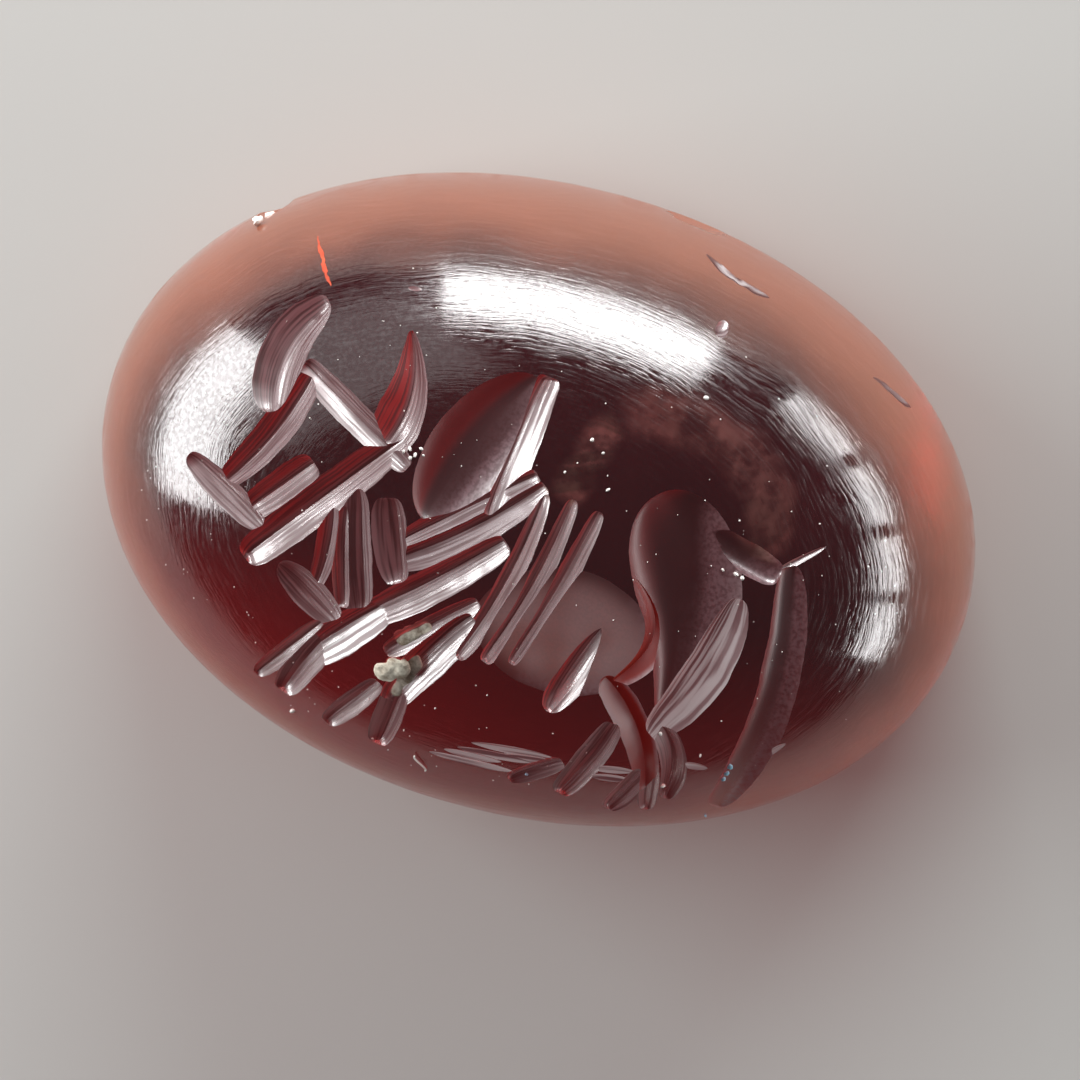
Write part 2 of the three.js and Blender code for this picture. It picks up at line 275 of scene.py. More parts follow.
# A pit, a short dash, and two lines where the edge is bruised
cut((0.26, 0.05), (0.35, 0.955), (0.385, 0.972), blunt=0.8)
cut((0.07, 0.03), (-0.42, 0.83), (-0.375, 0.84), blunt=0.8, ground=SCORED)
cut((0.06, 0.04), (0.25, 1.172), (0.5, 1.058), bow=-0.04, blunt=0.8, chips=0.35, ground=BRUISED)
cut((0.05, 0.035), (0.75, 0.88), (0.9, 0.75), bow=0.03, blunt=0.8, chips=0.35, ground=BRUISED)


# Wear has knocked flakes off the widest line. Each one left a shallow shell-shaped hollow.
def edge_flake(angle, length, bite):
    number = len(cutters) + 1
    flake, points = new_ball(f"flake_{number:03d}", 48, 32)
    direction = math.radians(angle)
    place = np.array([HALF_LENGTH * math.cos(direction), HALF_WIDTH * math.sin(direction)])
    place = place / outline_share(*place)
    outward = np.array([place[0] / HALF_LENGTH**2, place[1] / HALF_WIDTH**2])
    outward = outward / np.linalg.norm(outward)
    thickness = length * 0.3
    place = place + outward * (thickness - bite)
    ripple = 1 + wobble(np.arctan2(points[:, 1], points[:, 2]) + points[:, 1], 0.025)
    across = points[:, 0] * thickness * ripple
    along = points[:, 1] * length / 2 * ripple
    x = place[0] + outward[0] * across - outward[1] * along
    y = place[1] + outward[1] * across + outward[0] * along
    z = GIRDLE_HEIGHT + points[:, 2] * FLAKE_HEIGHT / 2
    move_points(flake, np.stack([x, y, z], axis=-1))
    mark_faces(flake, across, along + FLAKED + 5 * number)
    cutters.append(flake)


edge_flake(137, 0.7, 0.2)
edge_flake(79, 2.2, 0.1)
edge_flake(214, 2.6, 0.09)

for cutter in cutters:
    taken = stone.modifiers.new(cutter.name, "BOOLEAN")
    taken.operation = "DIFFERENCE"
    taken.solver = "MANIFOLD"
    taken.object = cutter
    bpy.context.view_layer.objects.active = stone
    bpy.ops.object.modifier_apply(modifier=taken.name)
for cutter in cutters:
    bpy.data.meshes.remove(cutter.data)


def bring_to_metres(piece, crease=32):
    bpy.ops.object.select_all(action="DESELECT")
    piece.select_set(True)
    bpy.context.view_layer.objects.active = piece
    piece.scale = (MM, MM, MM)
    bpy.ops.object.transform_apply(location=True, rotation=True, scale=True)
    bpy.ops.object.shade_smooth_by_angle(angle=math.radians(crease))


bring_to_metres(stone)

# The polished face keeps the blank's own normals, so that the cuts leave no shading beside them
corner_count = len(stone.data.loops)
marks = np.empty(corner_count * 2, dtype=np.float32)
stone.data.uv_layers["wheel"].data.foreach_get("uv", marks)
polished = marks.reshape(-1, 2)[:, 1] < 2.5
corner = np.empty(corner_count, dtype=np.int32)
stone.data.loops.foreach_get("vertex_index", corner)
points = np.empty(len(stone.data.vertices) * 3)
stone.data.vertices.foreach_get("co", points)
points = points.reshape(-1, 3)[corner] / MM
normals = np.empty(corner_count * 3, dtype=np.float32)
stone.data.corner_normals.foreach_get("vector", normals)
normals = normals.reshape(-1, 3)
above_edge = points[:, 2] > GIRDLE_HEIGHT + 0.02
on_face = polished & above_edge & (outline_share(points[:, 0], points[:, 1]) < 0.985)
normals[on_face] = face_normal(points[on_face, 0], points[on_face, 1])
stone.data.normals_split_custom_set(normals.tolist())
# Each corner also keeps how far its wall turns from the uncut face, to the lower right
uncut = face_normal(points[:, 0], points[:, 1])
wall_turn = stone.data.attributes.new("wall_turn", "FLOAT", "CORNER")
turned_right = (normals - uncut) @ np.array([0.93, -0.37, 0.0])
wall_turn.data.foreach_set("value", turned_right.astype(np.float32))
# and how deep it lies under the uncut face, in millimetres
sunk = stone.data.attributes.new("sunk", "FLOAT", "CORNER")
under = face_height(points[:, 0], points[:, 1]) - points[:, 2]
sunk.data.foreach_set("value", under.astype(np.float32))

# Garnet takes its red from the depth of stone that light crosses, and the thick middle is nearly black.
# The thin edge is painted a salmon pink glow. The old polish is hazed by fine scratches round the oval.
garnet = bpy.data.materials.new("garnet")
garnet.use_nodes = True
# The garnet's only glow is the painted glow of its scored walls.
garnet.cycles.emission_sampling = "NONE"  # its weak glow lights nothing else
tree = garnet.node_tree
tree.nodes.clear()


def add(tree, kind, **settings):
    node = tree.nodes.new(kind)
    for name, value in settings.items():
        setattr(node, name, value)
    return node


def feed(tree, node, **sockets):
    """Links or sets sockets by name, or by number as i0, i1 and so on."""
    for name, value in sockets.items():
        numbered = name[0] == "i" and name[1:].isdigit()
        socket = node.inputs[int(name[1:]) if numbered else name.replace("_", " ")]
        if hasattr(value, "is_output"):
            tree.links.new(value, socket)
        else:
            socket.default_value = value
    return node


def maths(tree, operation, first, second=0.0, clamp=False):
    node = add(tree, "ShaderNodeMath", operation=operation, use_clamp=clamp)
    return feed(tree, node, i0=first, i1=second).outputs[0]


def times(tree, first, second):
    return maths(tree, "MULTIPLY", first, second)


def above(tree, value, limit):
    return maths(tree, "GREATER_THAN", value, float(limit))


def cloud(tree, vector, scale, detail, roughness=0.5):
    """A noise that varies over the surface, as a value."""
    node = add(tree, "ShaderNodeTexNoise")
    feed(tree, node, Vector=vector, Scale=scale, Detail=detail, Roughness=roughness)
    return node.outputs["Fac"]


def mix_colour(tree, share, first, second):
    node = add(tree, "ShaderNodeMix", data_type="RGBA")
    return feed(tree, node, i0=share, i6=first, i7=second).outputs[2]


def mix_value(tree, share, first, second):
    node = add(tree, "ShaderNodeMix", data_type="FLOAT")
    return feed(tree, node, i0=share, i2=first, i3=second).outputs[0]


def fit_range(tree, value, low, high, to_low=0.0, to_high=1.0):
    node = add(tree, "ShaderNodeMapRange", interpolation_type="SMOOTHSTEP")
    return feed(tree, node, i0=value, i1=low, i2=high, i3=to_low, i4=to_high).outputs[0]


place = add(tree, "ShaderNodeTexCoord").outputs["Object"]
place_parts = feed(tree, add(tree, "ShaderNodeSeparateXYZ"), Vector=place)
wheel_map = add(tree, "ShaderNodeUVMap", uv_map="wheel").outputs[0]
wheel_parts = feed(tree, add(tree, "ShaderNodeSeparateXYZ"), Vector=wheel_map)
wall_kind = wheel_parts.outputs[1]
engraved = above(tree, wall_kind, 2.5)
ground_out = above(tree, wall_kind, 1000 * SMOOTH)
oval = add(tree, "ShaderNodeMapping")
oval_scale = (1 / (HALF_LENGTH * MM), 1 / (HALF_WIDTH * MM), 0)
oval = feed(tree, oval, Vector=place, Scale=oval_scale).outputs[0]
oval_parts = feed(tree, add(tree, "ShaderNodeSeparateXYZ"), Vector=oval)
out_from_middle = add(tree, "ShaderNodeVectorMath", operation="LENGTH")
out_from_middle = feed(tree, out_from_middle, i0=oval).outputs["Value"]
round_oval = maths(tree, "ARCTAN2", oval_parts.outputs[1], oval_parts.outputs[0])

haze = cloud(tree, place, 380.0, 2.0, 0.6)
# Fine scratches: long round the oval, short across it
ring_place = feed(
    tree,
    add(tree, "ShaderNodeCombineXYZ"),
    X=times(tree, round_oval, 7.0),
    Y=maths(tree, "ADD", times(tree, out_from_middle, 140.0), times(tree, haze, 9.0)),
)
scratches = cloud(tree, ring_place.outputs[0], 1.0, 2.0, 0.75)
scuffed = fit_range(tree, out_from_middle, 0.3, 0.72, 0.25, 1.0)
speckle = cloud(tree, place, 15000.0, 1.0, 0.6)
# The wheel's own lines run along each cut
along_cut = add(tree, "ShaderNodeMapping")
along_cut = feed(tree, along_cut, Vector=wheel_map, Scale=(17.0, 0.5, 1.0)).outputs[0]
wheel_lines = cloud(tree, along_cut, 1.0, 1.0, 0.75)

# Colour: the painted glow of the thin edge and of the clear red lower side, the dark middle and the
# paler frosted cuts
rim = maths(tree, "ADD", out_from_middle, times(tree, haze, 0.14))
rim = fit_range(tree, rim, 0.86, 1.06)
# The lower side is painted a clear red glow of light passing through the stone.
lower_side = fit_range(tree, place_parts.outputs[1], 0.0, -0.004)
middle_colour = mix_colour(tree, haze, (0.04, 0.005, 0.008, 1), (0.1, 0.024, 0.03, 1))
body_colour = mix_colour(tree, lower_side, middle_colour, (0.5, 0.003, 0.005, 1))
# The thin edge is painted a salmon glow, redder on the lower side.
rim_glow_colour = mix_colour(tree, lower_side, (0.85, 0.31, 0.18, 1), (0.9, 0.16, 0.05, 1))
body_colour = mix_colour(tree, rim, body_colour, rim_glow_colour)
turned = add(tree, "ShaderNodeAttribute", attribute_name="wall_turn").outputs["Fac"]
lit_wall = fit_range(tree, turned, -0.04, -0.4)
shaded_wall = fit_range(tree, turned, 0.06, 0.32)
# Painted red glow in the outer part of a wall that faces the lower right, with painted mauve shade
# nearer its floor and in the whole of mauve cuts
not_mauve = maths(tree, "SUBTRACT", 1.0, above(tree, wall_kind, 450))
from_floor = maths(tree, "ABSOLUTE", wheel_parts.outputs[0])
glow_share = times(tree, not_mauve, fit_range(tree, from_floor, 0.03, 0.16))
pale_lines = fit_range(tree, wheel_lines, 0.4, 0.6)
cut_colour = mix_colour(tree, pale_lines, (0.2, 0.06, 0.07, 1), (0.86, 0.72, 0.74, 1))
scored_sheen_colour = mix_colour(tree, pale_lines, (0.5, 0.3, 0.32, 1), (1, 0.95, 0.96, 1))
glow_lines = fit_range(tree, wheel_lines, 0.35, 0.6)
painted_turned_wall = mix_colour(tree, glow_lines, (0.22, 0.001, 0.002, 1), (0.8, 0.006, 0.008, 1))
mauve_shade_lines = fit_range(tree, wheel_lines, 0.38, 0.62)
painted_mauve_shade = mix_colour(tree, mauve_shade_lines, (0.1, 0.02, 0.024, 1), (0.42, 0.2, 0.22, 1))
painted_turned_wall = mix_colour(tree, glow_share, painted_mauve_shade, painted_turned_wall)
# Walls turned to the lower right take the painted glow and shade, the others keep the pale frosted
# colour.
cut_colour = mix_colour(tree, shaded_wall, cut_colour, painted_turned_wall)
hollow_colour = mix_colour(tree, haze, (0.05, 0.006, 0.008, 1), (0.16, 0.022, 0.025, 1))
hollow_colour = mix_colour(tree, 0.4, hollow_colour, body_colour)
# Hollow walls turned to the upper left get a speckled painted pale sheen,
painted_sheen = times(tree, fit_range(tree, turned, 0.03, -0.2), fit_range(tree, speckle, 0.3, 0.66, 0.45, 1.0))
hollow_colour = mix_colour(tree, painted_sheen, hollow_colour, (0.55, 0.36, 0.4, 1))
# and hollow walls turned to the lower right get a painted red glow.
glow_side = fit_range(tree, turned, 0.1, 0.4)
hollow_colour = mix_colour(tree, glow_side, hollow_colour, (0.3, 0.002, 0.003, 1))
frosted = above(tree, wall_kind, 1000 * RUBBED)
patches = fit_range(tree, haze, 0.4, 0.6)
frosted_colour = mix_colour(tree, patches, (0.55, 0.13, 0.08, 1), (0.95, 0.66, 0.64, 1))
# Glowing walls are painted a deep orange red, a glow of light through the thin stone.
glowing = above(tree, wall_kind, 1000 * GLOWING)
frosted_colour = mix_colour(tree, glowing, frosted_colour, (0.4, 0.008, 0.002, 1))
sunk = add(tree, "ShaderNodeAttribute", attribute_name="sunk").outputs["Fac"]
frosted = times(tree, frosted, fit_range(tree, sunk, 0.0, 0.12, 0.1, 1.0))
hollow_colour = mix_colour(tree, frosted, hollow_colour, frosted_colour)
cut_colour = mix_colour(tree, ground_out, cut_colour, hollow_colour)
colour = mix_colour(tree, engraved, body_colour, cut_colour)
bruised = above(tree, wall_kind, 1000 * BRUISED)
colour = mix_colour(tree, bruised, colour, (0.2, 0.04, 0.03, 1))
# Scored walls are painted near white, a painted sheen over their frosted lines.
scored = above(tree, wall_kind, 1000 * SCORED)
colour = mix_colour(tree, scored, colour, scored_sheen_colour)
under_rubbed = maths(tree, "LESS_THAN", wall_kind, 1000.0 * RUBBED)
flaked = times(tree, above(tree, wall_kind, FLAKED), under_rubbed)
colour = mix_colour(tree, flaked, colour, (0.85, 0.34, 0.21, 1))
flat_back = maths(tree, "LESS_THAN", place_parts.outputs[2], 0.00002)
colour = mix_colour(tree, flat_back, colour, (1, 0.8, 0.76, 1))

# Gloss: a coat stands for the worn skin that catches the light, strongest on the upper left
polish_rough = fit_range(tree, scratches, 0.38, 0.68, 0.06, 0.27)
polish_rough = times(tree, polish_rough, mix_value(tree, scuffed, 0.6, 1.0))
wheel_rough = fit_range(tree, wheel_lines, 0.38, 0.6, 0.46, 0.2)
cut_rough = mix_value(tree, ground_out, wheel_rough, 0.38)
cut_rough = mix_value(tree, shaded_wall, cut_rough, 0.45)
roughness = mix_value(tree, engraved, polish_rough, cut_rough)
hazy_side = maths(tree, "SUBTRACT", place_parts.outputs[1], times(tree, place_parts.outputs[0], 0.6))
hazy_side = fit_range(tree, hazy_side, -0.0015, 0.0045)
scuffs = fit_range(tree, scratches, 0.35, 0.7, 0.3, 1.0)
scuffs = times(tree, scuffs, fit_range(tree, speckle, 0.42, 0.6))
coat = times(tree, scuffs, mix_value(tree, hazy_side, 0.03, 0.42))
coat = mix_value(tree, rim, coat, 0.0)
smooth_coat = fit_range(tree, speckle, 0.4, 0.62, 0.1, 1.0)
smooth_coat = times(tree, smooth_coat, mix_value(tree, lit_wall, 0.06, 0.8))
rubbed_coat = fit_range(tree, speckle, 0.4, 0.62, 0.2, 1.0)
rubbed_coat = times(tree, rubbed_coat, mix_value(tree, glowing, 1.0, 0.0))
hollow_coat = mix_value(tree, frosted, smooth_coat, rubbed_coat)
cut_coat = mix_value(tree, ground_out, fit_range(tree, wheel_lines, 0.42, 0.6, 0.0, 0.5), hollow_coat)
cut_coat = times(tree, cut_coat, fit_range(tree, from_floor, 0.0, 0.14, 0.45, 1.0))
cut_coat = times(tree, cut_coat, mix_value(tree, shaded_wall, 1.0, 0.04))
coat = mix_value(tree, bruised, mix_value(tree, engraved, coat, cut_coat), 0.0)
coat = mix_value(tree, scored, coat, fit_range(tree, wheel_lines, 0.4, 0.6, 0.3, 1.0))
polish_relief = times(tree, times(tree, scratches, scuffed), mix_value(tree, engraved, 0.3, 0.0))
cut_relief = mix_value(tree, ground_out, engraved, times(tree, engraved, 0.06))
cut_relief = times(tree, times(tree, wheel_lines, 0.3), cut_relief)
relief = maths(tree, "ADD", polish_relief, cut_relief)
bump = feed(tree, add(tree, "ShaderNodeBump"), Strength=0.6, Distance=0.00003, Height=relief)

# Light that falls on the stone goes on through it to the table, and the scored walls carry a faint
# painted glow
shadow_ray = add(tree, "ShaderNodeLightPath").outputs["Is Shadow Ray"]
scored_glow_lines = times(tree, scored, pale_lines)
shader = add(tree, "ShaderNodeBsdfPrincipled")
feed(
    tree,
    shader,
    Base_Color=colour,
    Roughness=roughness,
    IOR=1.76,
    Transmission_Weight=0.78,
    Coat_Weight=coat,
    Coat_Roughness=0.22,
    Coat_IOR=2.0,
    Alpha=maths(tree, "SUBTRACT", 1.0, times(tree, shadow_ray, 0.7)),
    Normal=bump.outputs[0],
    Emission_Color=mix_colour(tree, scored_glow_lines, (0, 0, 0, 1), (0.11, 0.1, 0.1, 1)),
    Emission_Strength=1.0,
)
depth_colour = add(tree, "ShaderNodeVolumeAbsorption")
feed(tree, depth_colour, Color=(0.74, 0.1, 0.09, 1), Density=480.0)
output = add(tree, "ShaderNodeOutputMaterial")
tree.links.new(shader.outputs[0], output.inputs["Surface"])
tree.links.new(depth_colour.outputs[0], output.inputs["Volume"])

stone.data.materials.clear()
stone.data.materials.append(garnet)
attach(stone, "root")
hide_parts("engraved_garnet")


# Brown veils hang inside the stone behind the bull's back: old partly healed cracks, seen through
# the garnet. Each is a thin crumpled film that fades out at its edges.
veil_film = bpy.data.materials.new("brown_veil")
veil_film.use_nodes = True
veil_tree = veil_film.node_tree
veil_shader = veil_tree.nodes["Principled BSDF"]
veil_place = add(veil_tree, "ShaderNodeTexCoord").outputs["Object"]
veil_cloud = cloud(veil_tree, veil_place, 1500.0, 3.0, 0.65)
veil_map = add(veil_tree, "ShaderNodeUVMap", uv_map="film").outputs[0]
veil_across = feed(veil_tree, add(veil_tree, "ShaderNodeSeparateXYZ"), Vector=veil_map)


def inward(tree, share):
    """0 at both edges of the film and 1 in the middle."""
    from_middle = maths(tree, "SUBTRACT", times(tree, share, 2.0), 1.0)
    return maths(tree, "SUBTRACT", 1.0, maths(tree, "ABSOLUTE", from_middle))


veil_middle = fit_range(veil_tree, inward(veil_tree, veil_across.outputs[1]), 0.0, 0.7)
veil_ends = fit_range(veil_tree, inward(veil_tree, veil_across.outputs[0]), 0.0, 0.35)
veil_thin = times(veil_tree, veil_middle, veil_ends)
feed(
    veil_tree,
    veil_shader,
    Base_Color=mix_colour(veil_tree, veil_cloud, (0.5, 0.42, 0.34, 1), (0.8, 0.75, 0.66, 1)),
    Alpha=times(veil_tree, veil_thin, fit_range(veil_tree, veil_cloud, 0.35, 0.66, 0.1, 0.8)),
    Roughness=0.6,
    # The veils carry a weak painted glow, since little light reaches them inside the stone.
    Emission_Color=(0.5, 0.72, 0.45, 1),
    Emission_Strength=0.5,
)


def on_field(u, v):
    return u * (HALF_LENGTH - FIELD_MARGIN), v * (HALF_WIDTH - FIELD_MARGIN)


def under_face(x, y, depth):
    """Places under the uncut face, in millimetres, for arrays of places in plan."""
    return np.stack([x, y, face_height(x, y)], axis=-1) - face_normal(x, y) * np.asarray(depth)[:, None]


def hang_veil(name, path, width, depth, wave):
    bpy.ops.object.select_all(action="DESELECT")
    bpy.ops.mesh.primitive_grid_add(x_subdivisions=60, y_subdivisions=18, size=2)
    veil = bpy.context.object
    veil.name = name
    flat = np.empty(len(veil.data.vertices) * 3)
    veil.data.vertices.foreach_get("co", flat)
    flat = flat.reshape(-1, 3)
    along = (flat[:, 0] + 1) / 2
    knots = np.linspace(0, 1, len(path))
    line = np.array([on_field(*place) for place in path])
    x = np.interp(along, knots, line[:, 0])
    y = np.interp(along, knots, line[:, 1])
    before = np.clip(along - 0.05, 0, 1)
    after = np.clip(along + 0.05, 0, 1)
    ahead_x = np.interp(after, knots, line[:, 0]) - np.interp(before, knots, line[:, 0])
    ahead_y = np.interp(after, knots, line[:, 1]) - np.interp(before, knots, line[:, 1])
    ahead = np.hypot(ahead_x, ahead_y)
    out = flat[:, 1] * width / 2 * (1 + wobble(along * 4, 0.12))
    sink = depth + wave * np.sin(along * 9 + flat[:, 1] * 1.3) + wobble(along * 6 + flat[:, 1], 0.03)
    move_points(veil, under_face(x - ahead_y / ahead * out, y + ahead_x / ahead * out, sink))
    veil.data.uv_layers[0].name = "film"
    bring_to_metres(veil)
    veil.data.materials.append(veil_film)
    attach(veil, "root")


short_path = [(0.1, 0.24), (0.12, 0.35), (0.14, 0.45), (0.16, 0.55), (0.2, 0.61)]
hang_veil("veil_short", short_path, width=0.8, depth=0.55, wave=0.1)
long_path = [
    (0.17, 0.62), (0.27, 0.68), (0.39, 0.66), (0.52, 0.59), (0.61, 0.47), (0.64, 0.3), (0.63, 0.2),
]
hang_veil("veil_long", long_path, width=1.1, depth=0.6, wave=0.15)

# A short crack runs in from the large edge flake. Its faces carry a painted orange glint.
crack_glint = bpy.data.materials.new("painted_orange_glint")
crack_glint.use_nodes = True
glint_tree = crack_glint.node_tree
glint_place = add(glint_tree, "ShaderNodeTexCoord").outputs["Object"]
glint_cloud = cloud(glint_tree, glint_place, 6000.0, 2.0)
feed(
    glint_tree,
    glint_tree.nodes["Principled BSDF"],
    Base_Color=mix_colour(glint_tree, glint_cloud, (0.28, 0.02, 0.008, 1), (0.7, 0.12, 0.05, 1)),
    Roughness=0.35,
)


def lay_crack(name, path, width, depth):
    """A narrow ribbon that follows the uncut face, depth below it in millimetres."""
    bpy.ops.object.select_all(action="DESELECT")
    bpy.ops.mesh.primitive_grid_add(x_subdivisions=40, y_subdivisions=4, size=2)
    ribbon = bpy.context.object
    ribbon.name = name
    flat = np.empty(len(ribbon.data.vertices) * 3)
    ribbon.data.vertices.foreach_get("co", flat)
    flat = flat.reshape(-1, 3)
    along = (flat[:, 0] + 1) / 2
    knots = np.linspace(0, 1, len(path))
    line = np.array([on_field(*place) for place in path])
    x = np.interp(along, knots, line[:, 0]) + wobble(along * 3, 0.02)
    y = np.interp(along, knots, line[:, 1])
    chord = (line[-1] - line[0]) / np.linalg.norm(line[-1] - line[0])
    taper = np.sin(np.clip(along, 0.02, 0.98) * math.pi) ** 0.6
    out = flat[:, 1] * width / 2 * taper * (1 + wobble(along * 5, 0.25))
    sink = np.full_like(x, depth)
    move_points(ribbon, under_face(x - chord[1] * out, y + chord[0] * out, sink))
    bring_to_metres(ribbon)
    ribbon.data.materials.append(crack_glint)
    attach(ribbon, "root")


crack_path = [(-0.685, 0.875), (-0.654, 0.822), (-0.631, 0.786), (-0.61, 0.75)]
lay_crack("glinting_crack", crack_path, width=0.07, depth=-0.004)


# Cream crust of dried earth sits in the cuts of the far foreleg, with loose dust, a few coarse
# grains, white grains as a painted glint at the chipped edge, blue specks and one fibre on the rest of
# the face.
earth = bpy.data.materials.new("cream_crust")
earth.use_nodes = True
earth_tree = earth.node_tree
earth_place = add(earth_tree, "ShaderNodeTexCoord").outputs["Object"]
earth_cloud = cloud(earth_tree, earth_place, 4200.0, 4.0, 0.7)
earth_share = fit_range(earth_tree, earth_cloud, 0.3, 0.7)
earth_bump = add(earth_tree, "ShaderNodeBump")
feed(earth_tree, earth_bump, Strength=0.8, Distance=0.00004, Height=earth_cloud)
feed(
    earth_tree,
    earth_tree.nodes["Principled BSDF"],
    Base_Color=mix_colour(earth_tree, earth_share, (0.3, 0.22, 0.15, 1), (0.86, 0.8, 0.66, 1)),
    Roughness=0.7,
    Normal=earth_bump.outputs[0],
)
white_grain = bpy.data.materials.new("white_grain")
white_grain.use_nodes = True
grain_tree = white_grain.node_tree
grain_place = add(grain_tree, "ShaderNodeTexCoord").outputs["Object"]
grain_cloud = cloud(grain_tree, grain_place, 9000.0, 2.0)
feed(
    grain_tree,
    grain_tree.nodes["Principled BSDF"],
    Base_Color=mix_colour(grain_tree, grain_cloud, (0.72, 0.66, 0.6, 1), (0.97, 0.95, 0.92, 1)),
    Roughness=0.3,
)
blue_speck = bpy.data.materials.new("blue_speck")
blue_speck.use_nodes = True
blue_tree = blue_speck.node_tree
blue_place = add(blue_tree, "ShaderNodeTexCoord").outputs["Object"]
blue_cloud = cloud(blue_tree, blue_place, 14000.0, 2.0)
feed(
    blue_tree,
    blue_tree.nodes["Principled BSDF"],
    Base_Color=mix_colour(blue_tree, blue_cloud, (0.12, 0.42, 0.6, 1), (0.5, 0.8, 0.92, 1)),
    Roughness=0.6,
)


def settle(u, v):
    """The place on the cut stone at a place on the field, in mm, and the face's direction there."""
    x, y = on_field(u, v)
    spot = np.array([x]), np.array([y])
    lift = face_normal(*spot)[0]
    start = under_face(*spot, [-0.4])[0]
    found, hit, _, _ = stone.ray_cast(Vector(start * MM), Vector(-lift))
    return (np.array(hit) / MM if found else start), lift


def make_crust(name, lumps, finish):
    """Lumps pressed into one crust: each is (u, v, radius in mm, flatness)."""
    parts = []
    for u, v, radius, flatness in lumps:
        middle, lift = settle(u, v)
        bpy.ops.object.select_all(action="DESELECT")
        bpy.ops.mesh.primitive_ico_sphere_add(subdivisions=4, radius=radius, location=middle)
        lump = bpy.context.object
        lump.rotation_euler = Vector(lift).to_track_quat("Z", "Y").to_euler()
        lump.scale = (chance.uniform(0.8, 1.25), chance.uniform(0.8, 1.25), flatness)
        bpy.ops.object.transform_apply(location=True, rotation=True, scale=True)
        parts.append(lump)
    bpy.ops.object.select_all(action="DESELECT")
    for lump in parts:
        lump.select_set(True)
    crust = parts[0]
    bpy.context.view_layer.objects.active = crust
    bpy.ops.object.join()
    crust.name = name
    pressed = crust.modifiers.new("pressed", "REMESH")
    pressed.mode = "VOXEL"
    pressed.voxel_size = 0.02
    bpy.ops.object.modifier_apply(modifier=pressed.name)
    rough = bpy.data.textures.new(name + "_rough", "CLOUDS")
    rough.noise_scale = 0.16
    crumbled = crust.modifiers.new("crumbled", "DISPLACE")
    crumbled.texture = rough
    crumbled.strength = 0.04
    bpy.ops.object.modifier_apply(modifier=crumbled.name)
    bring_to_metres(crust, crease=60)
    crust.data.materials.clear()
    crust.data.materials.append(finish)
    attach(crust, "root")


upper_lumps = [(-0.2, -0.42, 0.17, 0.3), (-0.178, -0.395, 0.2, 0.28), (-0.16, -0.365, 0.15, 0.3)]
lower_lumps = [
    (-0.226, -0.57, 0.2, 0.3),
    (-0.198, -0.54, 0.27, 0.3),
    (-0.17, -0.535, 0.22, 0.3),
    (-0.183, -0.6, 0.24, 0.26),
    (-0.192, -0.66, 0.14, 0.3),
]
make_crust("crust_upper", upper_lumps, earth)
make_crust("crust_lower", lower_lumps, earth)


def scatter(name, spots, finish, stretch=1.0):
    """Small grains of few faces, joined as one piece: each is (u, v, radius in mm)."""
    parts = []
    for u, v, radius in spots:
        middle, lift = settle(u, v)
        bpy.ops.object.select_all(action="DESELECT")
        perch = middle + lift * radius * 0.3
        bpy.ops.mesh.primitive_ico_sphere_add(subdivisions=2, radius=radius, location=perch)
        speck = bpy.context.object
        shape = np.empty(len(speck.data.vertices) * 3)
        speck.data.vertices.foreach_get("co", shape)
        shape *= 1 + np.repeat(wobble(np.arange(len(shape) // 3) * 1.0, 0.12), 3)
        move_points(speck, shape)
        speck.rotation_euler = (chance.uniform(0, 3), chance.uniform(0, 3), chance.uniform(0, 3))
        long = chance.uniform(0.7, 1.3) * stretch
        speck.scale = (long, chance.uniform(0.7, 1.2), chance.uniform(0.5, 0.9))
        parts.append(speck)
    bpy.ops.object.select_all(action="DESELECT")
    for speck in parts:
        speck.select_set(True)
    bpy.context.view_layer.objects.active = parts[0]
    bpy.ops.object.transform_apply(location=True, rotation=True, scale=True)
    bpy.ops.object.join()
    grains = bpy.context.object
    grains.name = name
    bring_to_metres(grains, crease=40)
    grains.data.materials.clear()
    grains.data.materials.append(finish)
    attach(grains, "root")


named_dust = [
    (0.377, 0.736, 0.045), (0.134, 0.506, 0.035), (0.169, 0.47, 0.03), (0.09, 0.37, 0.03),
    (0.204, 0.346, 0.035), (0.565, 0.144, 0.05), (0.579, 0.137, 0.04), (0.535, 0.147, 0.03),
    (0.484, -0.556, 0.04), (0.589, -0.601, 0.03), (0.518, -0.787, 0.05), (-0.444, -0.886, 0.05),
    (-0.149, -0.798, 0.02), (-0.082, -0.659, 0.02), (-0.226, -0.895, 0.02),
]
loose_dust = []
while len(loose_dust) < 220:
    u, v = chance.uniform(-1, 1), chance.uniform(-1.05, 1.05)
    if u * u + v * v < 1:
        loose_dust.append((u, v, chance.uniform(0.006, 0.015)))
scatter("loose_dust", named_dust + loose_dust, white_grain)
coarse_spots = [
    (-0.312, 0.283, 0.04), (-0.297, 0.3, 0.05), (-0.28, 0.284, 0.045), (-0.27, 0.312, 0.04),
    (-0.29, 0.268, 0.03), (-0.262, 0.29, 0.03),
]
scatter("coarse_grains", coarse_spots, white_grain)
blue_spots = [
    (0.673, -0.655, 0.06), (0.669, -0.69, 0.055), (0.664, -0.72, 0.04), (0.636, -0.928, 0.035),
    (0.178, -0.872, 0.03),
]
scatter("blue_specks", blue_spots, blue_speck)
# White grains at the chipped edge stand as a painted glint.
edge_glint_spots = [(-0.878, 0.8, 0.09), (-0.862, 0.82, 0.1), (-0.845, 0.838, 0.07)]
scatter("painted_edge_glint", edge_glint_spots, white_grain, stretch=1.5)

